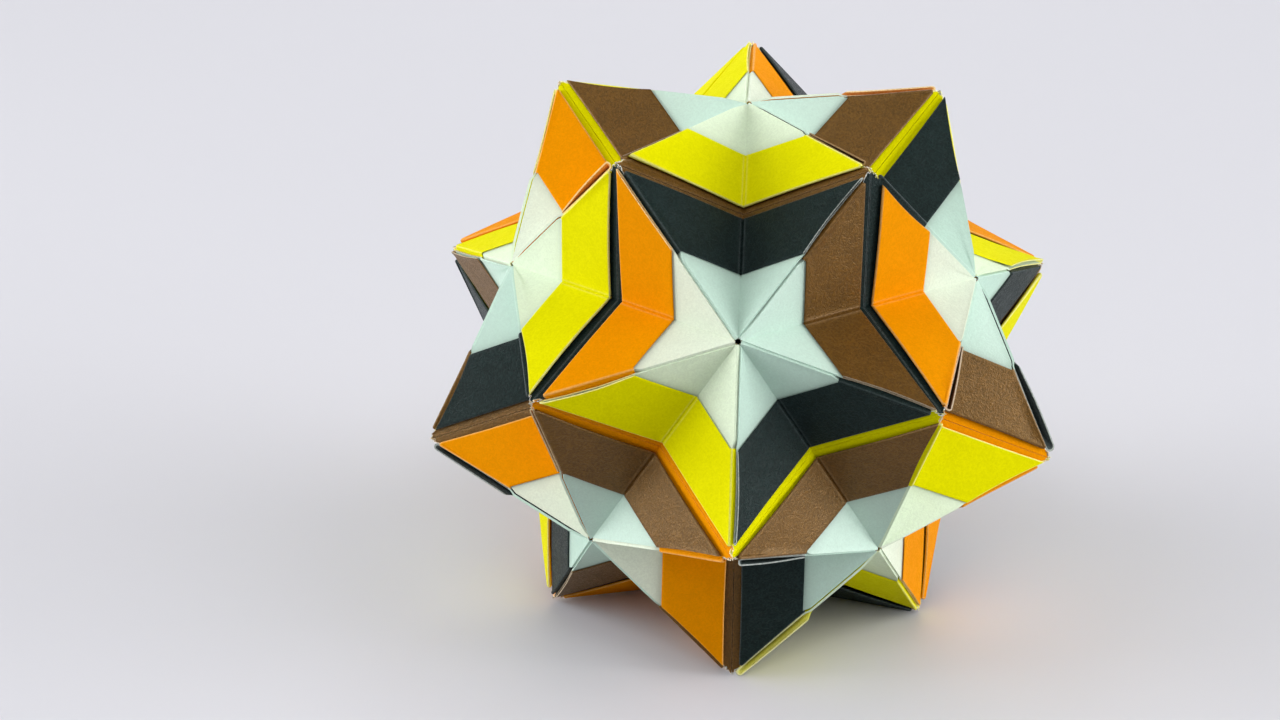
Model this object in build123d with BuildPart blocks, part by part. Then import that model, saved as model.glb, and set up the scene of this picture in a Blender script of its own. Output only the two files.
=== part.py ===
from build123d import *
import os
from math import atan, atan2, cos, degrees, radians, sin, sqrt

# Modular paper star of thirty folded units, in millimetres.
# Every unit is one square sheet, and all thirty are folded alike.
# The star has an icosahedron's twelve five-way corners and twenty outer tips.

# The sheet and its folds
sheet_side = 75.0
ply = 0.13
square_plies = 2
wing_plies = 2
hem_plies = 2
hem_share = 0.5
fold_bevel = 0.16

# How the units lie on each other
clearance = 0.06
rail_width = 1.8
rail_lift = 0.95
slit_width = 0.2
wing_setback = 0.3
pinhole_diameter = 1.0

# The layers push the tips out by this much
tip_extra = 0.5

# The star rests on the rim of its lowest corner and on two ridges, on this side of the corner
lean_azimuth = -54.0

# Which colour of sheet joins which two corners
# Corner 1 is at the top, corner 11 below it, and corner 0 faces the front
upper_ring = {0: -90.0, 3: -18.0, 6: 54.0, 7: 126.0, 2: 198.0}
lower_ring = {5: -54.0, 8: 18.0, 9: 90.0, 10: 162.0, 4: 234.0}
units_by_colour = {
    "brown": [(0, 1), (1, 6), (2, 4), (3, 8), (4, 5), (7, 9), (6, 9)],
    "black": [(0, 2), (0, 3), (3, 6), (4, 11), (5, 11), (7, 10), (8, 9)],
    "orange": [(0, 4), (1, 7), (2, 7), (3, 5), (4, 10), (6, 8), (10, 11), (8, 11)],
    "yellow": [(0, 5), (1, 2), (1, 3), (2, 10), (5, 8), (6, 7), (9, 10), (9, 11)],
}

# Sizes of the nominal star, whose faces meet at its corners and tips
edge = sheet_side / 2
half_edge = edge / 2
golden = (1 + sqrt(5)) / 2
site_radius = edge * golden / 2
corner_radius = sqrt(site_radius**2 + half_edge**2)
corner_tilt = degrees(atan(2))
units_at_corner = 5
turn_at_corner = 360 / units_at_corner
tip_height = edge / sqrt(2) / sqrt(3) + tip_extra
tip_radius = edge * golden**2 / (2 * sqrt(3)) + tip_height
tip_tilt = atan(1 / golden**2)

# Heights of the layers above the nominal faces
square_top = square_plies * ply
wing_bottom = square_top + clearance
wing_top = wing_bottom + wing_plies * ply
hem_top = wing_top + hem_plies * ply
hem_width = hem_share * half_edge

# Larger than any panel
blank_side = 3 * edge

# Closer than this, two places are one
same_place = 0.001

# The rim of a corner reaches no further than this
rim_reach = 2 * pinhole_diameter

# Marks of one unit's site: its centre up, corner A to corner B along X
corner_a = Vector(-half_edge, 0, site_radius)
tip_own = Vector(0, -tip_radius * sin(tip_tilt), tip_radius * cos(tip_tilt))
tip_next = Vector(0, tip_radius * sin(tip_tilt), tip_radius * cos(tip_tilt))
crease_mid = Vector(0, 0, site_radius + rail_lift)
half_turn = Location((0, 0, 0), (0, 0, 1), 180)
corner_axis = Axis((0, 0, 0), corner_a)


def face_plane(low_corner, tip):
    """The outward plane of the panel from a corner, to a tip, to the crease's middle."""
    across = tip - low_corner
    down = crease_mid - low_corner
    normal = across.cross(down)
    if normal.Z < 0:
        normal = -normal
    return Plane(origin=low_corner, x_dir=down, z_dir=normal)


# Planes that bound the panels of the corner A half
own_face = face_plane(corner_a, tip_own)
far_face = face_plane(corner_a, tip_next)
crease_plane = Plane(origin=(0, 0, 0), x_dir=(1, 0, 0), z_dir=(0, -1, 0))
rail_plane = Plane(origin=(0, 0, 0), x_dir=(0, 1, 0), z_dir=(-1, 0, 0))


def panel(face, bottom, top, kept_sides):
    """A flat layer on one face, kept where it lies above each cutting plane."""
    with BuildPart() as layer:
        with BuildSketch(face.offset(bottom)):
            Rectangle(blank_side, blank_side)
        extrude(amount=top - bottom)
        for side in kept_sides:
            split(bisect_by=side, keep=Keep.TOP)
    return layer.part


def flipped(plane):
    """The same plane with its kept side turned round."""
    return Plane(origin=plane.origin, x_dir=plane.x_dir, z_dir=-plane.z_dir)


def turned(plane, angle):
    """The same plane carried round corner A to another site."""
    return Plane(
        origin=plane.origin.rotate(corner_axis, angle),
        x_dir=plane.x_dir.rotate(corner_axis, angle),
        z_dir=plane.z_dir.rotate(corner_axis, angle),
    )


def below(plane, height):
    """Cutting plane that keeps what lies under a height above a face."""
    return flipped(plane.offset(height))


def lies_at(line, face, height):
    """Whether both ends of an edge are at a height above a face."""
    reaches = [(end - face.origin).dot(face.z_dir) for end in (line @ 0, line @ 1)]
    return all(abs(reach - height) < same_place for reach in reaches)


next_own_face = turned(own_face, -turn_at_corner)
next_far_face = turned(far_face, -turn_at_corner)
next_crease = turned(crease_plane, -turn_at_corner)
next_rail = turned(rail_plane, -turn_at_corner)
last_own_face = turned(own_face, turn_at_corner)

# The square is mitred at the crease, and its two top layers meet at a slit
slit_edge = rail_plane.offset(slit_width / 2)
own_square_sides = [
    crease_plane,
    below(next_far_face, wing_top),
    flipped(next_crease).offset(clearance),
    next_rail.offset(clearance),
]
far_square_sides = [
    flipped(crease_plane),
    below(last_own_face, -clearance),
]

# The wing: it turns over the ridge to the next site and bends in that site's crease
wing_edge = next_rail.offset(rail_width / 2)
hem_line = flipped(next_rail.offset(hem_width))
near_wing_sides = [
    flipped(next_crease),
    wing_edge,
    below(own_face, square_top),
    crease_plane.offset(clearance),
    rail_plane.offset(clearance),
]
ridge_after_next = turned(next_far_face, -turn_at_corner)
far_wing_sides = [
    next_crease,
    wing_edge,
    below(ridge_after_next, -wing_setback),
]

# The folds that show: each lies at a height above one plane and at a height above another
outer_folds = [
    (own_face, square_top, next_far_face, wing_top),
    (own_face, square_top, next_far_face, hem_top),
    (wing_edge, 0, next_far_face, hem_top),
    (wing_edge, 0, next_own_face, hem_top),
    (ridge_after_next, -wing_setback, next_own_face, wing_top),
    (ridge_after_next, -wing_setback, next_own_face, hem_top),
]


def is_outer_fold(line):
    """Whether an edge of the half unit is the outside of a fold."""
    return any(
        lies_at(line, one_plane, one_height) and lies_at(line, other_plane, other_height)
        for one_plane, one_height, other_plane, other_height in outer_folds
    )


# The pinhole is five-sided, with its corners in the creases
pinhole_plane = Plane(origin=corner_a, x_dir=corner_a.cross(crease_plane.z_dir), z_dir=corner_a)

with BuildPart() as half_unit:
    for face, sides in ((own_face, own_square_sides), (far_face, far_square_sides)):
        add(panel(face, 0, ply, sides + [rail_plane]))
        add(panel(face, ply, square_top, sides + [slit_edge]))
    for face, sides in ((next_far_face, near_wing_sides), (next_own_face, far_wing_sides)):
        add(panel(face, wing_bottom, wing_top, sides))
        add(panel(face, wing_bottom, hem_top, sides + [hem_line]))
    with BuildSketch(pinhole_plane):
        RegularPolygon(pinhole_diameter / 2, units_at_corner)
    extrude(amount=half_edge, both=True, mode=Mode.SUBTRACT)
    chamfer(half_unit.edges().filter_by(is_outer_fold), fold_bevel)

with BuildPart() as folded_unit:
    add(half_unit.part)
    add(half_unit.part.moved(half_turn))


def corner_direction(number):
    """The unit vector from the star's centre to one of its twelve corners."""
    if number == 1:
        return Vector(0, 0, 1)
    if number == 11:
        return Vector(0, 0, -1)
    if number in upper_ring:
        azimuth = radians(upper_ring[number])
        height = cos(radians(corner_tilt))
    else:
        azimuth = radians(lower_ring[number])
        height = -cos(radians(corner_tilt))
    reach = sin(radians(corner_tilt))
    return Vector(reach * cos(azimuth), reach * sin(azimuth), height)


# The thirty units in the upright star
upright_units = {}
for colour, corner_pairs in units_by_colour.items():
    for count, (first, second) in enumerate(corner_pairs, start=1):
        start = corner_direction(first)
        end = corner_direction(second)
        site = Plane(origin=(0, 0, 0), x_dir=end - start, z_dir=start + end)
        upright_units[f"{colour}_unit_{count}"] = folded_unit.part.moved(site.location)


def resting_lean(side):
    """How far the star tips over, from the rim of its lowest corner to the ridges on one side."""
    points = [Vector(*point) for unit in upright_units.values() for point in unit.vertices()]
    foot = min(points, key=lambda point: (round(point.Z, 6), -point.dot(side)))
    angles = []
    for point in points:
        reach = (point - foot).dot(side)
        if reach > rim_reach:
            angles.append(degrees(atan2(point.Z - foot.Z, reach)))
    return min(angles)


lean_side = Vector(cos(radians(lean_azimuth)), sin(radians(lean_azimuth)), 0)
lean_axis = Vector(0, 0, 1).cross(lean_side)
lean = Location((0, 0, 0), tuple(lean_axis), resting_lean(lean_side))
standing_units = {name: unit.moved(lean) for name, unit in upright_units.items()}

# The origin is on the table, under the middle of the star's box
star_box = Compound(list(standing_units.values())).bounding_box()
to_table = Location((-star_box.center().X, -star_box.center().Y, -star_box.min.Z))

os.makedirs("parts", exist_ok=True)
for name, standing_unit in standing_units.items():
    with BuildPart() as placed_unit:
        add(standing_unit.moved(to_table))
    placed_unit.part.label = name
    export_step(placed_unit.part, f"parts/{name}.step")
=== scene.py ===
import bpy
import math
import random
import numpy as np
from mathutils import Matrix, Vector


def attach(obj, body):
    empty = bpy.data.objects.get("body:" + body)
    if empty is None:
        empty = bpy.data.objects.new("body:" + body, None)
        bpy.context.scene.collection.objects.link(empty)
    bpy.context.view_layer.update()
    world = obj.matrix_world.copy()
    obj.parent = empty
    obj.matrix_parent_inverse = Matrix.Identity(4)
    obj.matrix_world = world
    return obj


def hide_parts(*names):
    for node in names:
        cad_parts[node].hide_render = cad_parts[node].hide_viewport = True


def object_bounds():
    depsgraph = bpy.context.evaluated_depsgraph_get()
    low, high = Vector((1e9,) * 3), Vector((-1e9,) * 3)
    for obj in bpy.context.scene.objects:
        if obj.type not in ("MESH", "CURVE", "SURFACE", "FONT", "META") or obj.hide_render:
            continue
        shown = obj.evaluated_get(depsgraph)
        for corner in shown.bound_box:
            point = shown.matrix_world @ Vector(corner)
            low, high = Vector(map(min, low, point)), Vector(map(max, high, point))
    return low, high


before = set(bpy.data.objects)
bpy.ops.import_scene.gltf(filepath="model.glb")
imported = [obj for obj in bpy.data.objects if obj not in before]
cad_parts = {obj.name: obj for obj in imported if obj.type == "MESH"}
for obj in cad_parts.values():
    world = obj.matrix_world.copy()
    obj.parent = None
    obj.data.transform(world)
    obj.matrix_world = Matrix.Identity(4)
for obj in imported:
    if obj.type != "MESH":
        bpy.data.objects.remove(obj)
cad_box = [list(corner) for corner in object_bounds()]

MM = 0.001

# Camera, in millimetres and degrees
CAMERA_PLACE = (6.55, -334.14, 188.53)
CAMERA_AIM = (-14.09, -1.46, 34.86)
CAMERA_ROLL = 0.07
LENS = 74.65
SENSOR_WIDTH = 36

# The star leans as in the CAD, in degrees, about the middle of the CAD's box
LEAN = 0.57527
LEAN_AZIMUTH = -54.0
CENTRE = (np.array(cad_box[0]) + np.array(cad_box[1])) / 2

# Nominal star, in millimetres
EDGE = 37.5
HALF = EDGE / 2
GOLDEN = (1 + math.sqrt(5)) / 2
SITE = EDGE * GOLDEN / 2
CORNER_COUNT = 12
TURN_AT_CORNER = 72

# The layers of paper push the tips and the creases out by this much
TIP_EXTRA = 0.5
LIFT = 0.95

TIP_RADIUS = EDGE * GOLDEN**2 / (2 * math.sqrt(3)) + EDGE / math.sqrt(6) + TIP_EXTRA
TIP_TILT = math.atan(1 / GOLDEN**2)

# Heights above the nominal faces: the square's top, and the underside and top of a wing's lower ply
SQUARE_TOP = 0.25
WING_LOW = 0.33
WING_MID = 0.55

# Thickness of a ply of the square and of the hem, and the gap between the hem's plies
SQUARE_PLY = 0.11
HEM_PLY = 0.18
HEM_GAP = 0.02

# How high a wing's fold stands over the neighbour's face, under the hem and at the white part
HEM_BEYOND = 0.26
WHITE_BEYOND = 0.40

# Places across a wing, measured from the middle of its site
HEM_LINE = -HALF / 2
RAIL_EDGE = -0.92
PINHOLE_EDGE = -HALF + 0.26

# Which corners the units of each colour join, as in the CAD
UNITS = {
    "brown": [(0, 1), (1, 6), (2, 4), (3, 8), (4, 5), (7, 9), (6, 9)],
    "black": [(0, 2), (0, 3), (3, 6), (4, 11), (5, 11), (7, 10), (8, 9)],
    "orange": [(0, 4), (1, 7), (2, 7), (3, 5), (4, 10), (6, 8), (10, 11), (8, 11)],
    "yellow": [(0, 5), (1, 2), (1, 3), (2, 10), (5, 8), (6, 7), (9, 10), (9, 11)],
}

# The corners at the top and bottom, and the azimuths of the ten between them
TOP_CORNER = 1
BOTTOM_CORNER = 11
UPPER_RING = {0: -90.0, 3: -18.0, 6: 54.0, 7: 126.0, 2: 198.0}
LOWER_RING = {5: -54.0, 8: 18.0, 9: 90.0, 10: 162.0, 4: 234.0}

# What the photo shows of single wings, by corner and site, in millimetres
WING_NOTES = {
    (5, 4): {"gape": 0.70, "white_inside": True},
    (0, 5): {"gape": 0.34, "white_inside": True},
    (0, 4): {"gape": 0.30, "white_inside": True},
    (2, 1): {"gape": 0.90, "peel": 0.35},
    (3, 5): {"gape": 0.60},
    (4, 0): {"gape": 0.40},
    (1, 0): {"gape": 0.60, "end_shift": -0.90, "end": -0.45},
    (0, 2): {"end_shift": 0.75},
    (3, 0): {"end_shift": -0.80},
    (3, 1): {"end": -0.45, "rail_shift": 0.25},
    (1, 2): {"end": -0.45},
    (1, 7): {"puff": 0.0, "rail_shift": -0.50, "gape": 0.25},
    (1, 3): {"gape": 0.35, "bare": 0.0, "peel": 0.30},
    (1, 6): {"gape": 0.30, "lift": 0.35, "end": -0.20, "peel": 0.45},
    (3, 6): {"gape": 0.40, "lift": 0.35, "white_inside": True, "peel": 0.30},
    (3, 8): {"gape": 0.90, "lift": 0.50, "end": -0.30, "peel": 0.40},
    (4, 10): {"gape": 0.30, "lift": 0.75, "end": -0.30, "peel": 0.45},
    (5, 11): {"gape": 0.35, "lift": 0.80, "end": -0.40, "peel": 0.35},
    (5, 0): {"start_shift": 0.55},
    (2, 7): {"puff": 0.05, "ridge_wear": 0.25, "peel": 0.50},
    (2, 10): {"gape": 0.45, "lift": 0.20, "peel": 0.40, "white_inside": True},
    (4, 2): {"peel": 0.30},
    (8, 3): {"gape": 0.40, "belly": 0.50},
    (10, 4): {"gape": 0.40, "belly": 0.45, "rail_shift": 0.15},
    (8, 5): {"belly": 0.50},
    (7, 2): {"gape": 0.30, "belly": 0.55},
    (7, 1): {"rim_wear": 0.0},
}

# Painted shade on the white part towards the hem: how much of a darker grey-green is mixed in at the hem's
# edge, and over how many mm it fades
HEM_PAINTED_SHADE = 0.5
HEM_PAINTED_SHADE_REACH = 0.5

# How much of its paler core each colour shows at its folded rims, at the slit and along its creases
RIM_WEAR = {"brown": 0.35, "black": 0.35, "orange": 0.6, "yellow": 0.8}
SLIT_WEAR = {"brown": 0.3, "black": 0.45, "orange": 0.05, "yellow": 0.0}
CREASE_WEAR = {"brown": 0.4, "black": 0.25, "orange": 0.2, "yellow": 0.15}


def unit_vector(vector):
    vector = np.asarray(vector, float)
    return vector / np.linalg.norm(vector)


def turn(axis, degrees):
    """Rotation matrix about an axis through the origin."""
    x, y, z = unit_vector(axis)
    angle = math.radians(degrees)
    cross = np.array([[0, -z, y], [z, 0, -x], [-y, x, 0]])
    return np.eye(3) + math.sin(angle) * cross + (1 - math.cos(angle)) * cross @ cross


def direction(number):
    """Unit vector to one of the star's twelve corners, before it leans."""
    if number == TOP_CORNER:
        return np.array([0.0, 0.0, 1.0])
    if number == BOTTOM_CORNER:
        return np.array([0.0, 0.0, -1.0])
    ring, sign = (UPPER_RING, 1) if number in UPPER_RING else (LOWER_RING, -1)
    tilt = math.atan(2)
    azimuth = math.radians(ring[number])
    reach = math.sin(tilt)
    return np.array([reach * math.cos(azimuth), reach * math.sin(azimuth), sign * math.cos(tilt)])


def site_axes(a, b):
    """Axes of a unit's site: X from corner a to corner b, Z outward."""
    x = unit_vector(direction(b) - direction(a))
    z = unit_vector(direction(a) + direction(b))
    return np.column_stack([x, np.cross(z, x), z])


def next_clockwise(a, b):
    """The corner after b, clockwise round corner a as seen from outside."""
    wanted = turn(direction(a), -TURN_AT_CORNER) @ direction(b)
    return max(range(CORNER_COUNT), key=lambda number: direction(number) @ wanted)


# Marks of a site, seen with its corner at -X
CORNER = np.array([-HALF, 0, SITE])
NEAR_TIP = TIP_RADIUS * np.array([0, math.sin(TIP_TILT), math.cos(TIP_TILT)])
FAR_TIP = TIP_RADIUS * np.array([0, -math.sin(TIP_TILT), math.cos(TIP_TILT)])
FOLD = np.array([0, 0, SITE + LIFT])


def normal(a, b, c):
    """The face's unit normal that points outward."""
    upright = unit_vector(np.cross(b - a, c - a))
    return upright if upright[2] > 0 else -upright


# Outward normals of the two faces by the corner, and of the neighbour's face over the ridge
NEAR_NORMAL = normal(CORNER, NEAR_TIP, FOLD)
FAR_NORMAL = normal(CORNER, FAR_TIP, FOLD)
LAST_NORMAL = turn(CORNER, TURN_AT_CORNER) @ FAR_NORMAL
MITRE = (NEAR_NORMAL + FAR_NORMAL) / (1 + NEAR_NORMAL @ FAR_NORMAL)
FAR_ACROSS = unit_vector(FOLD - FAR_TIP)
NEAR_ACROSS = unit_vector(FOLD - NEAR_TIP)
SLANT = math.sqrt(1 - (FAR_ACROSS @ unit_vector(CORNER - FAR_TIP)) ** 2)
RIDGE_COSINE = NEAR_NORMAL @ LAST_NORMAL
RIDGE_ANGLE = math.acos(RIDGE_COSINE)
BEYOND_RIDGE = -unit_vector(NEAR_NORMAL - RIDGE_COSINE * LAST_NORMAL)


def smooth(low, high, x):
    """0 below low, 1 above high, and an even S-curve between."""
    share = np.clip((x - low) / (high - low), 0, 1)
    return share * share * (3 - 2 * share)


def bell(x, middle, width):
    return np.exp(-(((x - middle) / width) ** 2))


def at_least(least, share):
    """A share between 0 and 1, raised so that it starts at the least value."""
    return least + (1 - least) * share


def on_line(end, x):
    """Points at each x on the line from the corner to a mark."""
    return CORNER + (end - CORNER) * ((x + HALF) / HALF)[:, None]


# Material slots of each piece
SHEET, REVERSE, RIM, TORN = range(4)


class Sheet:
    """Thick folded paper: pairs of outer and inner points, swept over stations."""

    def __init__(self):
        self.points = []
        self.faces = []
        self.materials = []
        self.wear_and_shade = []
        self.bare = []

    def sweep(self, stations, wears_and_shades, slots, bare, first_cap=True):
        """Each station holds outer and inner points: a loop out along one and back along the other."""
        rows = len(stations)
        count = len(stations[0][0])
        base = len(self.points)
        # The inner side's values hold painted shade beside the hem as well as wear
        for (outer, inner), (outer_wear, inner_wear_and_shade) in zip(stations, wears_and_shades):
            self.points.extend(outer)
            self.points.extend(inner)
            self.wear_and_shade.extend(outer_wear)
            self.wear_and_shade.extend(inner_wear_and_shade)
        self.bare.extend(np.full(2 * count * rows, bare))

        def index(row, k, side):
            return base + row * 2 * count + side * count + k

        def face(slot, *corners):
            self.faces.append(tuple(index(*corner) for corner in corners))
            self.materials.append(slot)

        last = count - 1
        for row in range(rows - 1):
            outer_slots = slots["ends"] if row in (0, rows - 2) else slots["outer"]
            for k in range(last):
                face(outer_slots[k], (row, k, 0), (row, k + 1, 0), (row + 1, k + 1, 0), (row + 1, k, 0))
                face(slots["inner"][k], (row, k + 1, 1), (row, k, 1), (row + 1, k, 1), (row + 1, k + 1, 1))
            face(slots["outer"][0], (row, 0, 1), (row, 0, 0), (row + 1, 0, 0), (row + 1, 0, 1))
            face(RIM, (row, last, 0), (row, last, 1), (row + 1, last, 1), (row + 1, last, 0))
        end = rows - 1
        for k in range(last):
            if first_cap:
                face(slots["caps"][k], (0, k, 0), (0, k, 1), (0, k + 1, 1), (0, k + 1, 0))
            face(slots["caps"][k], (end, k + 1, 0), (end, k + 1, 1), (end, k, 1), (end, k, 0))


# Shares along a wing's section: the hem's upper ply, the ply under it, and the white ply beyond
UPPER_SHARES = [0, 0.006, 0.02, 0.06, 0.15, 0.3, 0.45, 0.6, 0.75, 0.87, 0.95, 0.985, 1.0]
UNDER_SHARES = [0.0, 0.25, 0.6, 0.9, 1.0]
WHITE_SHARES = [0.0, 0.02, 0.06, 0.14, 0.28, 0.45, 0.62, 0.78, 0.9, 0.97, 1.0]
TURN_STEPS = 6

# How many points those parts have: the upper ply with its round turn, all the hem, and what is beyond
UPPER_COUNT = len(UPPER_SHARES)
UNDER_COUNT = len(UNDER_SHARES)
ROUND_COUNT = UPPER_COUNT + TURN_STEPS - 1
HEM_COUNT = ROUND_COUNT + UNDER_COUNT
WHITE_COUNT = 1 + len(WHITE_SHARES)

# The hem's free edge: how far in it curls up, and the round and the bevel of its cut
CURL_REACH = 0.5
CUT_ROUND = 0.6 * HEM_PLY
CUT_REACH = 0.13
CUT_BEVEL = 0.02

# Where the ply under the hem ends and the white ply starts, either side of the hem's edge
UNDER_END = 0.35
WHITE_START = 0.25


def wing_slots(white_inside):
    """Material slots along a wing's section, whose hem is white or coloured on the inside."""
    outer = [SHEET] * (HEM_COUNT + WHITE_COUNT)
    under = REVERSE if white_inside else SHEET
    inner = [SHEET] * ROUND_COUNT + [under] * UNDER_COUNT + [REVERSE] * WHITE_COUNT
    caps = [RIM] * HEM_COUNT + [REVERSE] * WHITE_COUNT
    return {"outer": outer, "ends": outer, "inner": inner, "caps": caps}


def wing_section(hem, rail, curl):
    """Outer and inner points across a wing as (x, height): hem, round turn at the rail, lower ply."""
    low_top = WING_MID
    up_low = WING_MID + HEM_GAP
    top = up_low + HEM_PLY
    radius = (top - WING_LOW) / 2
    inner_radius = HEM_GAP / 2
    middle = (top + WING_LOW) / 2
    inner_middle = (up_low + low_top) / 2
    turn_x = rail - radius
    outer, inner = [], []
    for share in UPPER_SHARES:
        x = hem + (turn_x - hem) * share
        raised = curl * math.exp(-(x - hem) / CURL_REACH)
        rounded = CUT_ROUND * math.exp(-(x - hem) / CUT_REACH)
        outer.append((x, top + raised - rounded))
        inner.append((x, up_low + raised))
    outer[0] = (hem - CUT_BEVEL, up_low + HEM_PLY / 3 + curl)
    for step in range(1, TURN_STEPS):
        angle = math.pi / 2 - math.pi * step / TURN_STEPS
        outer.append((turn_x + radius * math.cos(angle), middle + radius * math.sin(angle)))
        inner_x = turn_x + inner_radius * math.cos(angle)
        inner.append((inner_x, inner_middle + inner_radius * math.sin(angle)))
    under_end = hem + UNDER_END
    white_start = hem - WHITE_START
    xs = [turn_x + (under_end - turn_x) * share for share in UNDER_SHARES]
    xs += [(under_end + white_start) / 2, white_start]
    xs += [white_start + (PINHOLE_EDGE - white_start) * share for share in WHITE_SHARES[1:]]
    for x in xs:
        outer.append((x, WING_LOW))
        inner.append((x, low_top))
    return np.array(outer), np.array(inner)


# Where the hem's upper ply meets its round turn
TURN_LINE = RAIL_EDGE - 0.25

# How much of a hem's gape and lift there is at its folded rim, and how its opening curves
GAPE_AT_RIM = 0.75
GAPE_CURVE = 0.9
LIFT_AT_RIM = 0.45

# How much of the white ply's peel its outer face has, and how far from the hem and the corner it grows
PEEL_OUTSIDE = 0.75
PEEL_FROM_HEM = (0.1, 0.9)
PEEL_FROM_CORNER = (0.2, 1.8)


def gaping(points, hem, amount, lift):
    """Springs the hem open at the wing's end: by amount at its folded rim, by lift at its free edge."""
    points = points.copy()
    share = np.clip((points[:UPPER_COUNT, 0] - hem) / (TURN_LINE - hem), 0, 1)
    opening = GAPE_AT_RIM * share**GAPE_CURVE + (1 - GAPE_AT_RIM) * np.sin(np.pi * share)
    points[:UPPER_COUNT, 1] += amount * opening + lift * at_least(LIFT_AT_RIM, 1 - share)
    rise = GAPE_AT_RIM * amount + LIFT_AT_RIM * lift
    for step in range(1, TURN_STEPS):
        angle = math.pi * step / TURN_STEPS
        points[UPPER_COUNT + step - 1, 0] += rise / 3 * math.sin(angle)
        points[UPPER_COUNT + step - 1, 1] += rise * (0.5 + 0.5 * math.cos(angle))
    return points


def peeling(points, hem, amount):
    """Raises the white ply at the wing's end, away from the hem and from the corner."""
    points = points.copy()
    x = points[HEM_COUNT:, 0]
    points[HEM_COUNT:, 1] += amount * smooth(*PEEL_FROM_HEM, hem - x) * smooth(*PEEL_FROM_CORNER, x + HALF)
    return points


def opened(outer, inner, hem, traits, share):
    """The section with a share of the wing's opening: its hem springs open and its white ply peels."""
    gape, lift, peel = (traits[key] * share for key in ("gape", "lift", "peel"))
    outer = peeling(gaping(outer, hem, gape, lift), hem, PEEL_OUTSIDE * peel)
    inner = peeling(gaping(inner, hem, gape, lift), hem, peel)
    return outer, inner, hem


# Stations before the ridge, in mm, and round it, as shares of the turn
BEFORE_RIDGE = (1.3, 0.5)
ROUND_RIDGE = (1.0, 0.86, 0.72, 0.6, 0.5, 0.4, 0.28, 0.14, 0.0)

# Stations on the two panels, as shares of the way, and by the crease and the end, in mm
ON_NEAR = (0.08, 0.2, 0.35, 0.5, 0.65, 0.8, 0.92)
BY_CREASE = (0.8, 0.5, 0.4, 0.3, 0.2, 0.1, 0.0)
ON_FAR = (0.06, 0.18, 0.32, 0.46, 0.6, 0.74, 0.88, 0.96)
BY_END = (0.9, 0.45, 0.16, 0.05, 0.0)

# Where along the wing the sections of those stations lie: 0 is the first ridge, 1 the crease, 2 the end
NEAR_SPAN = (0.03, 0.96)
FAR_SPAN = (1.0, 1.9)
END_SPAN_OF_MM = 0.06

# What the stations on the panels leave free for those by the ridge, the crease and the end, in mm
RIDGE_MARGIN = 0.5
CREASE_MARGIN = 0.8
END_MARGIN = 1.2

# On a panel shorter than this the stations by the crease and the end are closer together
SHORT_PANEL = 3.0

# Round fold over a ridge: its radius, the height from which a hem widens it, and its least radius
RIDGE_RADIUS = 0.14
WIDENED_FROM = 0.50
LEAST_RADIUS = 0.02

# Pinched crease: two welts either side of a groove, lower on the white part
WELT_PLACE = 0.32
WELT_WIDTH = 0.16
GROOVE_WIDTH = 0.14
GROOVE_SHARE = 0.5
RIB_ON_WHITE = 0.12

# How far a belly reaches either side of the hem's edge
BELLY_WIDTH = 4.0

# Least shares of a puff, of the run before the ridge, of the end's setback, and of a bulge by the free edge
LEAST_PUFF = 0.15
LEAST_RUN = 0.25
LEAST_SETBACK = 0.35
LEAST_BULGE = 0.25
BULGE_CURVE = 1.5

# How far from the corner the crease's rib and the white part's bow grow
RIB_GROWS = (0.4, 3.0)
WHITE_GROWS = (0, 6)

# How much the hem's edge follows where its rim strays at the wing's two ends
HEM_FOLLOWS = 0.5

# From where on the far panel the wing opens, how much by its last station, and what a mm takes away
OPENS_FROM = 0.55
OPEN_ON_PANEL = 0.6
OPEN_LOSS_OF_MM = 0.4

# Wear across the folded rim, round the ridge (as a share of its turn), beside the crease and at the end
RIM_PROFILE = np.array([0.45, 1.0, 0.5])
RIDGE_WEAR_WIDTH = 0.16
CREASE_WEAR_PLACE = 0.3
CREASE_WEAR_WIDTH = 0.1
END_WEAR = 0.4
END_WEAR_REACH = 0.1


def from_corner(x):
    """0 by the corner, where all layers meet, and 1 a little way from it."""
    return smooth(0.3, 2.2, x + HALF)


def hem_at_ridge(x, hem):
    """0 on the white part and 1 on the hem, where the wing goes over a ridge or ends at one."""
    return smooth(hem - 0.7, hem - 0.05, x)


def hem_on_panel(x, hem):
    """0 on the white part and 1 on the hem, between the ridges."""
    return smooth(hem - 0.3, hem + 0.1, x)


def toward_rail(x, hem):
    """0 at the hem's free edge and 1 at its folded rim."""
    return np.clip((x - hem) / (RAIL_EDGE - hem), 0, 1)


def share_of_mm(start, stop):
    """How much of the way from start to stop a millimetre is."""
    length = np.linalg.norm(stop - start, axis=1)
    return np.minimum(1, length / SHORT_PANEL) / length


def within(span, share):
    return span[0] + (span[1] - span[0]) * share


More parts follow.
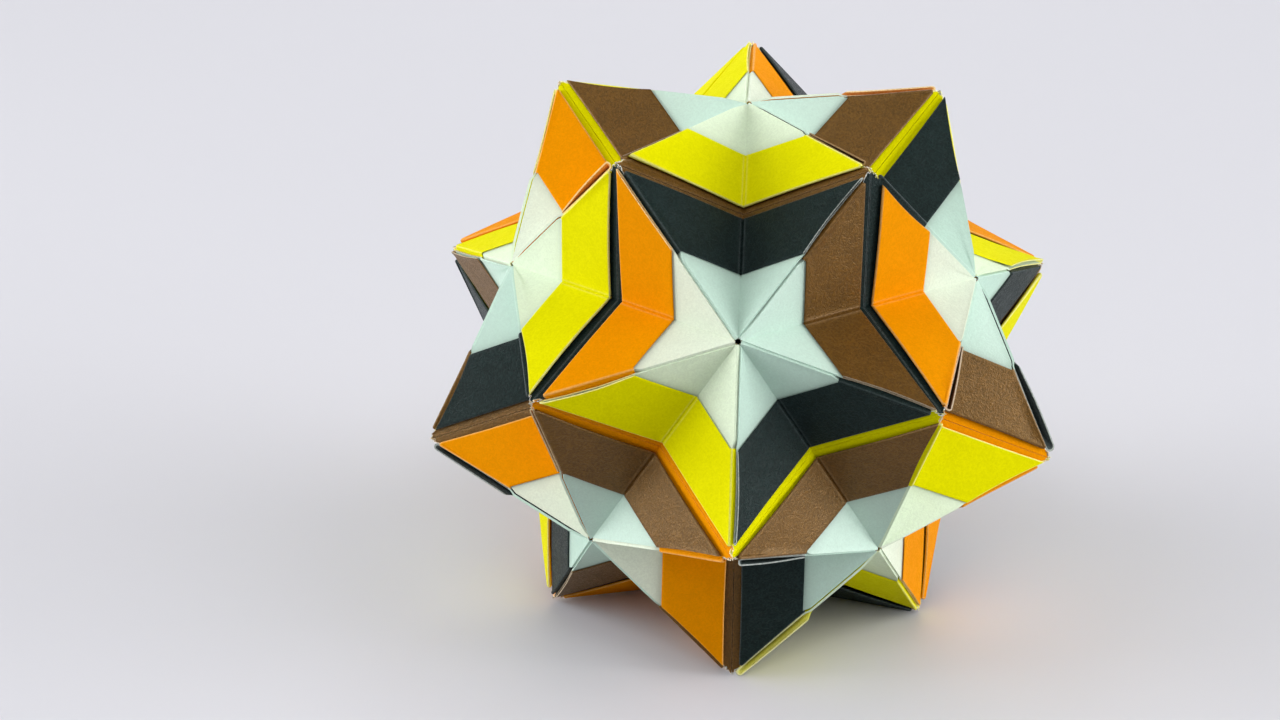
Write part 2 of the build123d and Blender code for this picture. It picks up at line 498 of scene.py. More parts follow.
class Wing:
    """A wing comes over the ridge at +Y, bends in the crease, and ends at the ridge at -Y.

    A profile is a row of points across the wing as (x, height), outer or inner.
    """

    def __init__(self, traits):
        self.traits = traits
        self.stations = []
        self.wears_and_shades = []

    def section(self, along):
        """Outer and inner profile and the hem's place, along the wing as in NEAR_SPAN and FAR_SPAN."""
        traits = self.traits
        hem = HEM_LINE + traits["hem_shift"] + traits["hem_turn"] * (along - 1)
        bow = traits["rail_bow"] * math.sin(math.pi * (along % 1.0)) * (0 < along < 2)
        stray = traits["end_shift"] * max(along - 1, 0) + traits["start_shift"] * max(1 - along, 0)
        hem += HEM_FOLLOWS * stray
        rail = RAIL_EDGE - traits["rail_shift"] - traits["rail_turn"] * (along - 1) - bow + stray
        outer, inner = wing_section(hem, rail, traits["hem_curl"])
        return outer, inner, hem

    def over_ridge(self, profile, hem):
        """Centre and radius of the wing's round fold over the ridge."""
        x, height = profile[:, 0], profile[:, 1]
        hemness = hem_at_ridge(x, hem)
        top = WING_MID + hemness * (HEM_GAP + HEM_PLY)
        outer_radius = RIDGE_RADIUS + (top - WIDENED_FROM) * from_corner(x) * hemness
        over = top - outer_radius
        beyond = WHITE_BEYOND + (HEM_BEYOND - WHITE_BEYOND) * hemness - outer_radius
        radius = np.maximum(outer_radius - (top - height), LEAST_RADIUS)
        near_share = (over - RIDGE_COSINE * beyond) / (1 - RIDGE_COSINE**2)
        last_share = (beyond - RIDGE_COSINE * over) / (1 - RIDGE_COSINE**2)
        centre = on_line(NEAR_TIP, x) + near_share[:, None] * NEAR_NORMAL + last_share[:, None] * LAST_NORMAL
        return centre, radius

    def round_ridge(self, profile, hem, turned):
        """On the fold over the ridge, where turned is 0 on this side and 1 on the neighbour's."""
        x = profile[:, 0]
        centre, radius = self.over_ridge(profile, hem)
        near_share = math.sin(RIDGE_ANGLE * (1 - turned)) / math.sin(RIDGE_ANGLE)
        last_share = math.sin(RIDGE_ANGLE * turned) / math.sin(RIDGE_ANGLE)
        outward = near_share * NEAR_NORMAL + last_share * LAST_NORMAL
        puffed = at_least(LEAST_PUFF, hem_at_ridge(x, hem) * toward_rail(x, hem))
        puff = self.traits["puff"] * math.sin(math.pi * turned) * from_corner(x) * puffed
        return centre + (radius + puff)[:, None] * outward

    def before_ridge(self, profile, hem, run):
        """On the neighbour's side of the ridge, where the wing is still hidden."""
        centre, radius = self.over_ridge(profile, hem)
        back = run * at_least(LEAST_RUN, from_corner(profile[:, 0]))
        return centre + radius[:, None] * LAST_NORMAL + back[:, None] * BEYOND_RIDGE

    def at_crease(self, profile):
        return on_line(FOLD, profile[:, 0]) + profile[:, 1, None] * MITRE

    def at_end(self, profile, hem):
        x, height = profile[:, 0], profile[:, 1]
        share = toward_rail(x, hem)
        bow = self.traits["end_bow"] * np.sin(np.pi * share) * hem_at_ridge(x, hem)
        setback = self.traits["end"] + bow + self.traits["end_turn"] * share
        setback = setback * at_least(LEAST_SETBACK, from_corner(x)) / SLANT
        return on_line(FAR_TIP, x) + setback[:, None] * FAR_ACROSS + height[:, None] * FAR_NORMAL

    def bow(self, x, hem, side):
        """How far the middle of the near or the far panel stands out of its plane."""
        hemness = hem_on_panel(x, hem)
        share = at_least(LEAST_BULGE, toward_rail(x, hem) ** BULGE_CURVE)
        bulge = self.traits[f"bulge_{side}"] * share * hemness
        belly = self.traits["belly"] * bell(x, hem, BELLY_WIDTH)
        white = self.traits[f"white_{side}"] * (1 - hemness) * smooth(*WHITE_GROWS, x + HALF)
        return bulge + belly + white

    def near(self, profile, hem, way_of):
        """Between the first ridge and the crease; way_of makes a share of the way from that of a mm."""
        start = self.round_ridge(profile, hem, 0.0)
        stop = self.at_crease(profile)
        way = way_of(share_of_mm(start, stop))
        bow = self.bow(profile[:, 0], hem, "near") * np.sin(np.pi * way)
        return start + (stop - start) * way[:, None] + bow[:, None] * NEAR_NORMAL

    def far(self, profile, hem, way_of):
        """Between the crease and the wing's end."""
        start = self.at_crease(profile)
        stop = self.at_end(profile, hem)
        way = way_of(share_of_mm(start, stop))
        bow = self.bow(profile[:, 0], hem, "far") * np.sin(np.pi * way)
        return start + (stop - start) * way[:, None] + bow[:, None] * FAR_NORMAL

    def by_crease(self, profile, hem, side, distance):
        """At a distance from the crease, pinched: a groove between two low welts."""
        if side == "near":
            point = self.near(profile, hem, lambda mm: 1 - distance * mm)
        else:
            point = self.far(profile, hem, lambda mm: distance * mm)
        x = profile[:, 0]
        welt = bell(distance, WELT_PLACE, WELT_WIDTH) - GROOVE_SHARE * bell(distance, 0, GROOVE_WIDTH)
        strength = at_least(RIB_ON_WHITE, hem_on_panel(x, hem)) * smooth(*RIB_GROWS, x + HALF)
        return point + (self.traits["rib"] * welt * strength)[:, None] * MITRE

    def add(self, place, section, amount=0.0, **where):
        """One station, with the wear of its rim and of all its hem, and painted shade on its inner side
        beside the hem.
        """
        outer, inner, hem = section
        self.stations.append((place(outer, hem, **where), place(inner, hem, **where)))
        wear_and_shade = np.zeros(len(outer))
        wear_and_shade[UPPER_COUNT : UPPER_COUNT + len(RIM_PROFILE)] = self.traits["rim_wear"] * RIM_PROFILE
        wear_and_shade[:UPPER_COUNT] = np.maximum(wear_and_shade[:UPPER_COUNT], amount)
        # Painted shade on the inner side: full at and under the hem, fading into the white part
        painted_shade = HEM_PAINTED_SHADE * np.exp(-np.maximum(hem - inner[:, 0], 0) / HEM_PAINTED_SHADE_REACH)
        self.wears_and_shades.append((wear_and_shade, painted_shade))

    def start_at_ridge(self):
        section = self.section(0.0)
        for run in BEFORE_RIDGE:
            self.add(self.before_ridge, section, run=run)
        for turned in ROUND_RIDGE:
            amount = self.traits["ridge_wear"] * bell(turned, 0.5, RIDGE_WEAR_WIDTH)
            self.add(self.round_ridge, section, amount, turned=turned)

    def cross_near_panel(self):
        for share in ON_NEAR:
            margins = (RIDGE_MARGIN, share, CREASE_MARGIN)
            self.add(self.near, self.section(within(NEAR_SPAN, share)), way_of=between(*margins))

    def bend_in_crease(self):
        section = self.section(1.0)
        places = [("near", distance) for distance in BY_CREASE]
        places += [("far", distance) for distance in reversed(BY_CREASE[:-1])]
        for side, distance in places:
            amount = self.traits["crease_wear"] * bell(distance, CREASE_WEAR_PLACE, CREASE_WEAR_WIDTH)
            self.add(self.by_crease, section, amount, side=side, distance=distance)

    def cross_far_panel(self):
        for share in ON_FAR:
            section = self.section(within(FAR_SPAN, share))
            section = opened(*section, self.traits, OPEN_ON_PANEL * smooth(OPENS_FROM, 1.0, share))
            self.add(self.far, section, way_of=between(CREASE_MARGIN, share, END_MARGIN))

    def end_at_ridge(self):
        for distance in BY_END:
            section = self.section(2.0 - END_SPAN_OF_MM * distance)
            section = opened(*section, self.traits, 1 - OPEN_LOSS_OF_MM * distance)
            amount = END_WEAR * self.traits["rim_wear"] * (distance < END_WEAR_REACH)
            self.add(self.far, section, amount, way_of=before_end(distance))


def between(before, share, after):
    """Makes a share of the way that lies between margins in mm at its start and its end."""
    return lambda mm: before * mm + share * (1 - (before + after) * mm)


def before_end(distance):
    return lambda mm: 1 - distance * mm


def wing(sheet, traits):
    shape = Wing(traits)
    shape.start_at_ridge()
    shape.cross_near_panel()
    shape.bend_in_crease()
    shape.cross_far_panel()
    shape.end_at_ridge()
    slots = wing_slots(traits["white_inside"])
    sheet.sweep(shape.stations, shape.wears_and_shades, slots, traits["bare"], first_cap=False)


# Shares along the square's section from the pinhole to the slit, close together under the strip
SQUARE_SHARES = [0.0, 0.25, 0.47, 0.53, 0.8, 0.9, 0.94] + [0.95 + 0.05 * i / 8 for i in range(9)]
SQUARE_START = PINHOLE_EDGE + 0.1

# The tight round turn at the slit, outside and inside the paper, and its gap to the site's middle
SLIT_STEPS = 6
SLIT_ROUND = 0.03
SLIT_INNER = 0.01
SLIT_INNER_HEIGHT = 0.015
SLIT_GAP = 0.002

# Stations from a tip to the crease, as shares of the way, and how near the tip they are worn and curled
FROM_TIP = [1.0, 0.993, 0.985, 0.96, 0.9, 0.6, 0.3, 0.08, 0.02]
WORN_NEAR_TIP = 0.99
CURLED_NEAR_TIP = 0.975

# Across the square: where the white part stops, and where the strip, its torn end and its wear start
WHITE_UNTIL = HEM_LINE - 0.4
STRIP_START = (-1.6, -0.95)
TORN_FROM = RAIL_EDGE - 0.4
WORN_FROM = RAIL_EDGE - 0.2

# Waves of a torn end, in radians for each millimetre: of its raggedness, with their shares, and its curl
TORN_WAVES = ((6.5, 0.7), (15.0, 0.5))
CURL_WAVES = 9

# How far the square under a wing stays back from the ridge
HIDDEN_BACK = 0.3


def square_section(traits):
    """Outer and inner points across half the square: top ply, tight turn at the slit, lower ply."""
    radius = SQUARE_TOP / 2
    turn_x = -SLIT_GAP - traits["slit"] - SLIT_ROUND
    xs = [SQUARE_START + (turn_x - SQUARE_START) * share for share in SQUARE_SHARES]
    outer, inner = [], []
    for x in xs:
        across = min(max((x - RAIL_EDGE) / -RAIL_EDGE, 0), 1)
        rise = traits["strip_crown"] * math.sin(math.pi * across) + traits["strip_tilt"] * across
        outer.append((x, SQUARE_TOP + rise))
        inner.append((x, SQUARE_TOP - SQUARE_PLY + rise))
    for step in range(1, SLIT_STEPS):
        angle = math.pi / 2 - math.pi * step / SLIT_STEPS
        reach, height = math.cos(angle), math.sin(angle)
        outer.append((turn_x + SLIT_ROUND * reach, radius + (radius + traits["strip_tilt"]) * height))
        inner.append((turn_x + SLIT_INNER * reach, radius + SLIT_INNER_HEIGHT * height))
    for x in reversed(xs):
        outer.append((x, 0.0))
        inner.append((x, SQUARE_PLY))
    return np.array(outer), np.array(inner)


def on_square(profile, traits, side, value):
    """The square's section at a share of the way from the crease to the tip at +Y (1) or at -Y (-1)."""
    x, height = profile[:, 0], profile[:, 1]
    near = (NEAR_TIP, NEAR_ACROSS, NEAR_NORMAL)
    tip, across, face_normal = near if side > 0 else (FAR_TIP, FAR_ACROSS, FAR_NORMAL)
    in_strip = smooth(*STRIP_START, x)
    phase = traits["torn_phase"]
    ragged = sum(size * np.sin(waves * x + waves * phase + side) for waves, size in TORN_WAVES)
    torn = traits["torn_gap"] + traits["torn"] * ragged - height * math.tan(RIDGE_ANGLE / 2)
    back = (HIDDEN_BACK * (1 - in_strip) + in_strip * torn) / SLANT
    middle = on_line(FOLD, x) + height[:, None] * MITRE
    end = on_line(tip, x) + back[:, None] * across + height[:, None] * face_normal
    curl = traits["torn_curl"] * (0.5 + 0.5 * np.sin(CURL_WAVES * x + phase * side))
    curl *= smooth(CURLED_NEAR_TIP, 1.0, value) * in_strip
    return middle + (end - middle) * value + curl[:, None] * face_normal


def square_slots(xs):
    outer = [REVERSE if x < WHITE_UNTIL else SHEET for x in xs]
    caps = [TORN if x > TORN_FROM else slot for x, slot in zip(xs, outer)]
    return {"outer": outer, "ends": caps, "inner": outer, "caps": caps}


def square(sheet, traits):
    """Half of the unit's square, whose strip ends in a torn edge at each tip."""
    outer, inner = square_section(traits)
    xs = outer[:, 0]
    slit = slice(len(SQUARE_SHARES) - 1, len(SQUARE_SHARES) + 2)
    places = [(1, value) for value in FROM_TIP + [0.0]] + [(-1, value) for value in reversed(FROM_TIP)]
    stations = []
    wears_and_shades = []
    for side, value in places:
        stations.append((on_square(outer, traits, side, value), on_square(inner, traits, side, value)))
        wear_and_shade = np.zeros(len(outer))
        wear_and_shade[slit] = traits["slit_wear"]
        if value > WORN_NEAR_TIP:
            wear_and_shade[xs > WORN_FROM] = 1.0
        wears_and_shades.append((wear_and_shade, np.zeros(len(inner))))
    sheet.sweep(stations, wears_and_shades, square_slots(xs), traits["bare"])


def chances(seed, colour, site):
    """The small differences of one wing and its half square."""
    chance = random.Random(seed)
    traits = {
        "hem_shift": chance.uniform(-0.12, 0.12),
        "hem_turn": chance.uniform(-0.15, 0.15),
        "hem_curl": chance.uniform(0.05, 0.14),
        "rail_shift": chance.uniform(-0.10, 0.12),
        "rail_turn": chance.uniform(-0.14, 0.14),
        "rail_bow": chance.uniform(0.0, 0.14),
        "puff": chance.uniform(0.08, 0.36),
        "end": chance.uniform(-0.22, -0.02),
        "end_bow": chance.uniform(0.05, 0.35),
        "end_turn": chance.uniform(-0.08, 0.08),
        "end_shift": chance.uniform(-0.15, 0.30),
        "start_shift": chance.uniform(-0.15, 0.25),
        "bulge_near": chance.uniform(0.08, 0.28),
        "bulge_far": chance.uniform(0.08, 0.28),
        "white_near": chance.uniform(-0.05, 0.08),
        "white_far": chance.uniform(-0.05, 0.08),
        "rib": chance.uniform(0.03, 0.07),
        "crease_wear": CREASE_WEAR[colour] * chance.uniform(0.7, 1.2),
        "rim_wear": RIM_WEAR[colour] * chance.uniform(0.7, 1.2),
        "ridge_wear": RIM_WEAR[colour] * chance.uniform(0.4, 1.1),
        "gape": chance.uniform(0.04, 0.22),
        "lift": 0.0,
        "belly": 0.0,
        "peel": chance.uniform(0.02, 0.24),
        "slit_wear": SLIT_WEAR[colour] * chance.uniform(0.7, 1.2),
        "slit": chance.uniform(0.0, 0.006),
        "strip_crown": chance.uniform(0.0, 0.03),
        "strip_tilt": chance.uniform(-0.04, 0.04),
        "torn": chance.uniform(0.09, 0.20),
        "torn_gap": chance.uniform(-0.24, -0.04),
        "torn_phase": chance.uniform(0, 6),
        "torn_curl": chance.uniform(0.05, 0.18),
        "bare": chance.uniform(0.3, 1.0),
        "white_inside": False,
    }
    traits.update(WING_NOTES.get(site, {}))
    return traits


LEAN_SIDE = np.array([math.cos(math.radians(LEAN_AZIMUTH)), math.sin(math.radians(LEAN_AZIMUTH)), 0])
LEANING = turn(np.cross([0, 0, 1], LEAN_SIDE), LEAN)


def to_row(points, axes):
    """Site points in mm to the row frame in metres."""
    return (LEANING @ axes @ np.asarray(points).T).T * MM + CENTRE


def linear(r, g, b):
    """sRGB 0 to 255 to linear."""
    return tuple(c / 255 / 12.92 if c < 11 else ((c / 255 + 0.055) / 1.055) ** 2.4 for c in (r, g, b))


def scaled(colour, factor):
    """A linear colour made darker or lighter, with its alpha."""
    return (*[min(c * factor, 1.0) for c in colour], 1)


def new_tree(name):
    """A new material, its node tree and its principled shader."""
    material = bpy.data.materials.new(name)
    material.use_nodes = True
    tree = material.node_tree
    return material, tree, tree.nodes["Principled BSDF"]


def feed(tree, value, socket):
    """Links an output to a socket, or sets a plain value on it."""
    if isinstance(value, bpy.types.NodeSocket):
        tree.links.new(value, socket)
    else:
        socket.default_value = value


def calculated(tree, operation, *values):
    made = tree.nodes.new("ShaderNodeMath")
    made.operation = operation
    for value, socket in zip(values, made.inputs):
        feed(tree, value, socket)
    return made.outputs[0]


def map_range(tree, value, from_min, from_max, to_min, to_max):
    made = tree.nodes.new("ShaderNodeMapRange")
    made.inputs["From Min"].default_value = from_min
    made.inputs["From Max"].default_value = from_max
    made.inputs["To Min"].default_value = to_min
    made.inputs["To Max"].default_value = to_max
    tree.links.new(value, made.inputs["Value"])
    return made.outputs["Result"]


def mixed_colour(tree, factor, first, second):
    made = tree.nodes.new("ShaderNodeMix")
    made.data_type = "RGBA"
    for value, socket in ((factor, made.inputs["Factor"]), (first, made.inputs[6]), (second, made.inputs[7])):
        feed(tree, value, socket)
    return made.outputs[2]


def mixed_shader(tree, factor, first, second):
    made = tree.nodes.new("ShaderNodeMixShader")
    for value, socket in zip((factor, first, second), made.inputs):
        tree.links.new(value, socket)
    return made.outputs[0]


def noise(tree, place, scale, detail, rough=0.6, distortion=0.0):
    made = tree.nodes.new("ShaderNodeTexNoise")
    made.inputs["Scale"].default_value = scale
    made.inputs["Detail"].default_value = detail
    made.inputs["Roughness"].default_value = rough
    made.inputs["Distortion"].default_value = distortion
    tree.links.new(place.outputs["Object"], made.inputs["Vector"])
    return made.outputs["Fac"]


# The paper's pattern: noise scales for each metre, how much each counts, and what fibres add on average
SPECKLE_SCALE = 3400
SPECKLE_SHARE = 2.6
CLOUD_SCALE = 260
CLOUD_SHARE = 0.8
FIBRE_SCALE = 900
FIBRE_SHARE = 0.6
FIBRE_WIDTH = 0.05
FIBRE_AVERAGE = 0.1

# How far a grain changes the roughness, and the bump's depth in metres
ROUGH_SPREAD = 0.08
BUMP_DEPTH = 0.00006


def fibres(tree, place):
    """Thin curly lines where a warped noise crosses its middle value."""
    field = noise(tree, place, FIBRE_SCALE, 3, 0.5, 1.2)
    distance = calculated(tree, "ABSOLUTE", calculated(tree, "SUBTRACT", field, 0.5))
    return map_range(tree, distance, 0.0, FIBRE_WIDTH, 1.0, 0.0)


def paper_grain(tree, place, speckle):
    """Speckle, clouds and fibres together, about a middle value of 0.5."""
    cloud = noise(tree, place, CLOUD_SCALE, 3)
    offset = 0.5 - SPECKLE_SHARE / 2 - CLOUD_SHARE / 2 - FIBRE_AVERAGE
    grain = calculated(tree, "MULTIPLY_ADD", speckle, SPECKLE_SHARE, offset)
    grain = calculated(tree, "MULTIPLY_ADD", cloud, CLOUD_SHARE, grain)
    return calculated(tree, "MULTIPLY_ADD", fibres(tree, place), FIBRE_SHARE, grain)


def patchy_wear_and_shade(tree, speckle, mixed_by):
    """The measure stored on the mesh, broken up by the speckle: wear on the coloured sheets and rims, painted
    shade on the white backs.
    """
    amount = tree.nodes.new("ShaderNodeAttribute")
    amount.attribute_name = mixed_by
    return calculated(tree, "MULTIPLY", amount.outputs["Fac"], map_range(tree, speckle, 0.35, 0.6, 0.55, 1.0))


def paper(name, tone, worn_and_shade_tone, spread, rough, level=0.3, tint=(1, 1, 1), pearl=0.0, relief=0.2, mixed_by="wear_and_shade"):
    """Craft paper: fine speckle, curly fibres and faint clouds about its tone, mixed towards a second tone by
    a measure stored on the mesh: paler where it is worn, and on the white backs a darker painted shade beside
    the hem.

    The grain changes the tone by spread either way, and the last argument names the measure stored on the
    mesh.
    """
    material, tree, shader = new_tree(name)
    place = tree.nodes.new("ShaderNodeTexCoord")
    speckle = noise(tree, place, SPECKLE_SCALE, 5)
    grain = paper_grain(tree, place, speckle)
    shade = mixed_colour(tree, grain, scaled(tone, 1 - spread), scaled(tone, 1 + spread))
    # Mixed towards the second tone: paler wear, and on the white backs a darker painted shade
    rubbed_and_shaded = mixed_colour(tree, patchy_wear_and_shade(tree, speckle, mixed_by), shade, scaled(worn_and_shade_tone, 1))
    tree.links.new(rubbed_and_shaded, shader.inputs["Base Color"])
    roughness = map_range(tree, grain, 0.1, 0.9, rough + ROUGH_SPREAD, rough - ROUGH_SPREAD)
    tree.links.new(roughness, shader.inputs["Roughness"])
    shader.inputs["Metallic"].default_value = pearl
    shader.inputs["Specular IOR Level"].default_value = level
    shader.inputs["Specular Tint"].default_value = (*tint, 1)
    bump = tree.nodes.new("ShaderNodeBump")
    bump.inputs["Strength"].default_value = relief
    bump.inputs["Distance"].default_value = BUMP_DEPTH
    tree.links.new(grain, bump.inputs["Height"])
    tree.links.new(bump.outputs["Normal"], shader.inputs["Normal"])
    return material


BROWN = linear(98, 66, 19)
BLACK = linear(21, 34, 33)
ORANGE = linear(235, 147, 0)
YELLOW = linear(227, 223, 0)
BROWN_SHINE = (1.0, 0.87, 0.58)
BLACK_SHINE = (0.85, 1.0, 0.96)


def matte(name, tone, worn_and_shade_tone, spread):
    """A bright paper with next to no gloss."""
    return paper(name, tone, worn_and_shade_tone, spread, rough=0.65, level=0.06, tint=tone)


SHEETS = {
    "brown": paper(
        "paper_brown", BROWN, linear(165, 135, 100), spread=0.3, rough=0.36,
        level=0.42, tint=BROWN_SHINE, pearl=0.19, relief=0.45,
    ),
    "black": paper(
        "paper_black", BLACK, linear(120, 130, 130), spread=0.45, rough=0.38,
        level=0.12, tint=BLACK_SHINE, relief=0.6,
    ),
    "orange": matte("paper_orange", ORANGE, linear(252, 215, 150), 0.06),
    "yellow": matte("paper_yellow", YELLOW, linear(250, 248, 190), 0.055),
}


def reverse(name, tone, spread):
    """The white back of a sheet, with painted shade beside the hem: a darker grey-green is mixed in there."""
    # The darker grey-green is the painted shade beside the hem
    return paper(name, tone, linear(128, 140, 132), spread, rough=0.6)


REVERSES = {
    "brown": reverse("white_back_of_brown", linear(206, 232, 217), 0.04),
    "black": reverse("white_back_of_black", linear(194, 222, 207), 0.04),
    "orange": reverse("white_back_of_orange", linear(227, 237, 216), 0.05),
    "yellow": reverse("white_back_of_yellow", linear(227, 243, 214), 0.05),
}


def rim(name, dark, light):
    """The thin edge of a sheet, which shows more or less of its pale core."""
    return paper(name, dark, light, spread=0.2, rough=0.75, level=0.2, mixed_by="bare")


RIMS = {
    "brown": rim("edge_of_brown", linear(150, 120, 84), linear(230, 221, 198)),
    "black": rim("edge_of_black", linear(92, 104, 104), linear(214, 220, 212)),
    "orange": rim("edge_of_orange", linear(246, 190, 96), linear(252, 232, 190)),
    "yellow": rim("edge_of_yellow", linear(240, 236, 110), linear(248, 246, 196)),
}


def torn_end(name, dark, light):
    """The ragged end of a strip, which is pale and loose."""
    return paper(name, dark, light, spread=0.15, rough=0.8, level=0.2)


TORN_ENDS = {
    "brown": torn_end("torn_end_of_brown", linear(172, 160, 140), linear(240, 236, 226)),
    "black": torn_end("torn_end_of_black", linear(164, 170, 166), linear(240, 243, 238)),
    "orange": torn_end("torn_end_of_orange", linear(214, 186, 136), linear(250, 240, 214)),
    "yellow": torn_end("torn_end_of_yellow", linear(220, 216, 130), linear(250, 248, 206)),
}

# Folds sharper than this, in degrees, stay sharp in the shading
SHARP_FROM = 38


def add_object(name, data):
    made = bpy.data.objects.new(name, data)
    bpy.context.scene.collection.objects.link(made)
    return made


def unit_parts(name, colour, a, b):
    """The two wings and two half squares of a unit, each with the axes of its site."""
    for first, second in ((a, b), (b, a)):
        onward = next_clockwise(first, second)
        traits = chances(f"{name}{first}", colour, (first, onward))
        for maker, axes in ((wing, site_axes(first, onward)), (square, site_axes(first, second))):
            sheet = Sheet()
            maker(sheet, traits)
            yield sheet, axes


def build_unit(name, colour, a, b):
    points, faces, materials, wear_and_shade, bare = [], [], [], [], []
    for sheet, axes in unit_parts(name, colour, a, b):
        base = len(points)
        points.extend(to_row(sheet.points, axes))
        faces.extend(tuple(i + base for i in face) for face in sheet.faces)
        materials.extend(sheet.materials)
        wear_and_shade.extend(sheet.wear_and_shade)
        bare.extend(sheet.bare)
    mesh = bpy.data.meshes.new(f"paper_{name}")
    mesh.from_pydata([tuple(point) for point in points], [], faces)
    for slot in (SHEETS[colour], REVERSES[colour], RIMS[colour], TORN_ENDS[colour]):
        mesh.materials.append(slot)
    mesh.polygons.foreach_set("material_index", materials)
    # One measure holds the wear of rims and creases together with the painted shade beside the hem; the
    # other, how bare the cut edges are
    for attribute_name, values in (("wear_and_shade", wear_and_shade), ("bare", bare)):
        attribute = mesh.attributes.new(attribute_name, "FLOAT", "POINT")
        attribute.data.foreach_set("value", np.array(values, np.float32))
    mesh.polygons.foreach_set("use_smooth", [True] * len(faces))
    mesh.set_sharp_from_angle(angle=math.radians(SHARP_FROM))
    mesh.update()
    piece = add_object(f"paper_{name}", mesh)
    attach(piece, "root")
    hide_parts(name)


for colour, pairs in UNITS.items():
    for count, (a, b) in enumerate(pairs, start=1):
        build_unit(f"{colour}_unit_{count}", colour, a, b)

# Studio, in metres: tones of the floor as it is seen and as it lights the star, and of the backdrop
FLOOR_SEEN = (0.70, 0.70, 0.75)
FLOOR_BOUNCED = (0.5, 0.5, 0.53)
BACKDROP = (0.74, 0.74, 0.79)
AMBIENT = (0.86, 0.9, 0.95)
AMBIENT_STRENGTH = 0.02
FLOOR_HALF = 3

# Distances between which the floor fades into the backdrop
FADE_START = 0.25
FADE_END = 0.6

# Sines of the elevations between which the backdrop fades out
BACKDROP_TOP = 0.15
BACKDROP_END = 0.25


def seen_directly(tree):
    """1 for what the camera sees, also in a reflection or through glass, and 0 for light thrown on."""
    path = tree.nodes.new("ShaderNodeLightPath")
    total = path.outputs["Is Camera Ray"]
    for ray in ("Is Glossy Ray", "Is Transmission Ray"):
        total = calculated(tree, "MAXIMUM", total, path.outputs[ray])
    return total


def faded_far_away(tree, shader):
    """The floor's shader, which becomes the plain backdrop where the softboxes light it less evenly."""
    place = tree.nodes.new("ShaderNodeTexCoord")
    distance = tree.nodes.new("ShaderNodeVectorMath")
    distance.operation = "LENGTH"
    tree.links.new(place.outputs["Object"], distance.inputs[0])
    far = map_range(tree, distance.outputs["Value"], FADE_START, FADE_END, 0.0, 1.0)
    backdrop = tree.nodes.new("ShaderNodeEmission")
    backdrop.inputs["Color"].default_value = (*BACKDROP, 1)
    factor = calculated(tree, "MULTIPLY", far, seen_directly(tree))
    return mixed_shader(tree, factor, shader.outputs[0], backdrop.outputs[0])


def floor_paint():
    """Plain matte floor, paler where it is seen than in the light that it throws back at the star."""
    material, tree, shader = new_tree("floor_paint")
    shader.inputs["Roughness"].default_value = 0.8
    shader.inputs["Specular IOR Level"].default_value = 0.2
    tone = mixed_colour(tree, seen_directly(tree), (*FLOOR_BOUNCED, 1), (*FLOOR_SEEN, 1))
    tree.links.new(tone, shader.inputs["Base Color"])
    tree.links.new(faded_far_away(tree, shader), tree.nodes["Material Output"].inputs["Surface"])
    return material


def lay_floor():
    mesh = bpy.data.meshes.new("floor")
    ends = ((-1, -1), (1, -1), (1, 1), (-1, 1))
    mesh.from_pydata([(x * FLOOR_HALF, y * FLOOR_HALF, 0) for x, y in ends], [], [(0, 1, 2, 3)])
    mesh.materials.append(floor_paint())
    floor = add_object("floor", mesh)


# Softboxes at both sides, low and high, in front and behind: each one's place in metres and its watts
STAR_MIDDLE = (0, 0, 0.035)
SOFTBOX_SIZE = 0.45
SOFTBOXES = {
    "left_side": ((-0.8, 0.0, 0.25), 4.1),
    "right_side": ((0.8, 0.0, 0.25), 3.3),
    "left_low": ((-0.8, -0.25, 0.1), 2.6),
    "right_low": ((0.8, -0.25, 0.1), 3.8),
    "left_high": ((-0.45, -0.1, 0.7), 1.4),
    "right_high": ((0.45, -0.1, 0.7), 1.5),
    "front_high": ((0.0, -0.5, 0.65), 1.5),
    "back_high": ((0.0, 0.65, 0.45), 2.2),
}


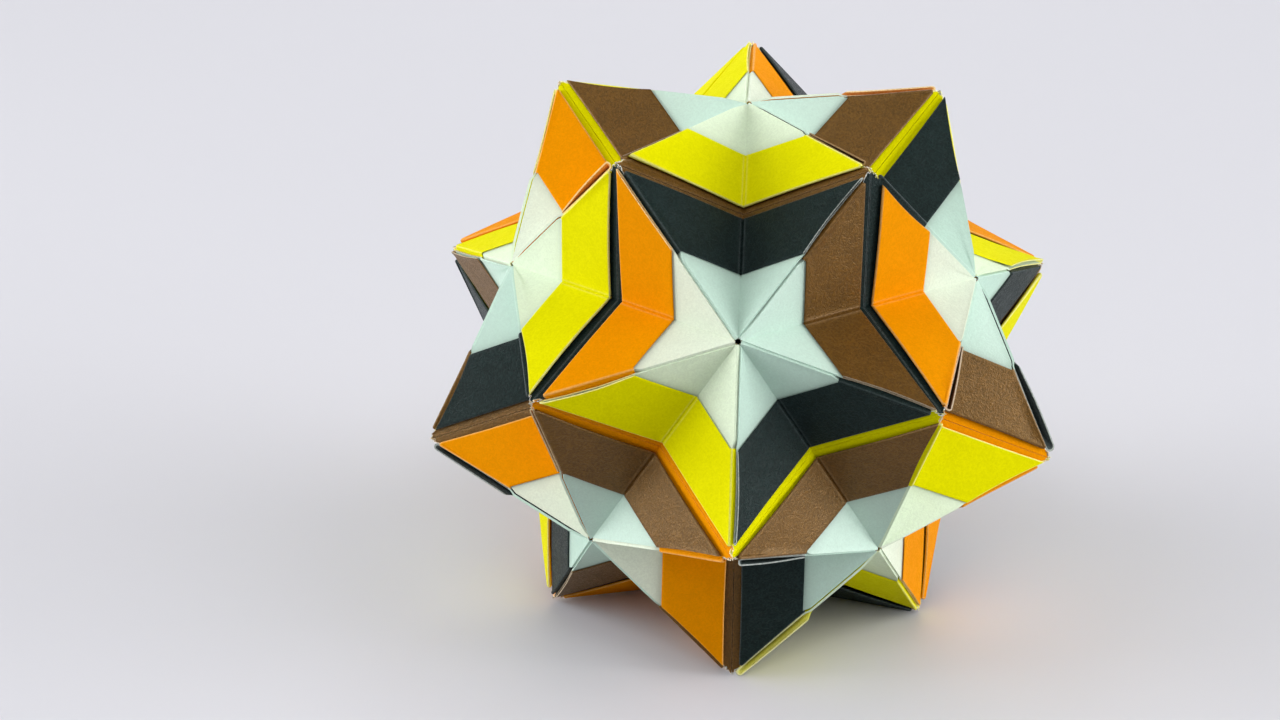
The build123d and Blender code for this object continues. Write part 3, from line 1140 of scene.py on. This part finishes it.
def softbox(name, place, watts):
    data = bpy.data.lights.new(name, "AREA")
    data.size = SOFTBOX_SIZE
    data.energy = watts
    lamp = add_object(name, data)
    lamp.location = place
    lamp.rotation_mode = "QUATERNION"
    lamp.rotation_quaternion = (Vector(STAR_MIDDLE) - Vector(place)).to_track_quat("-Z", "Y")
    lamp.visible_camera = False


def studio_world():
    """A faint even light, and low over the floor the pale backdrop, which is seen but throws no light."""
    world = bpy.data.worlds.new("studio")
    world.use_nodes = True
    tree = world.node_tree
    ambient = tree.nodes["Background"]
    ambient.inputs["Color"].default_value = (*AMBIENT, 1)
    ambient.inputs["Strength"].default_value = AMBIENT_STRENGTH
    backdrop = tree.nodes.new("ShaderNodeBackground")
    backdrop.inputs["Color"].default_value = (*BACKDROP, 1)
    place = tree.nodes.new("ShaderNodeTexCoord")
    parts = tree.nodes.new("ShaderNodeSeparateXYZ")
    tree.links.new(place.outputs["Generated"], parts.inputs[0])
    low = map_range(tree, parts.outputs["Z"], BACKDROP_TOP, BACKDROP_END, 1.0, 0.0)
    factor = calculated(tree, "MULTIPLY", low, seen_directly(tree))
    both = mixed_shader(tree, factor, ambient.outputs[0], backdrop.outputs[0])
    tree.links.new(both, tree.nodes["World Output"].inputs["Surface"])
    bpy.context.scene.world = world


def set_camera():
    """The camera at the photo's place and angle."""
    data = bpy.data.cameras.new("camera")
    data.lens = LENS
    data.sensor_width = SENSOR_WIDTH
    data.clip_start = 0.01
    data.clip_end = 20
    camera = add_object("camera", data)
    place = Vector(CAMERA_PLACE) * MM
    back = (place - Vector(CAMERA_AIM) * MM).normalized()
    level_right = Vector((0, 0, 1)).cross(back).normalized()
    level_up = back.cross(level_right)
    roll = math.radians(CAMERA_ROLL)
    up = level_up * math.cos(roll) + level_right * math.sin(roll)
    right = up.cross(back)
    camera.location = place
    camera.rotation_mode = "QUATERNION"
    camera.rotation_quaternion = Matrix((right, up, back)).transposed().to_quaternion()
    bpy.context.scene.camera = camera


lay_floor()
for name, (place, watts) in SOFTBOXES.items():
    softbox(name, place, watts)
studio_world()
bpy.context.scene.view_settings.view_transform = "Standard"
set_camera()
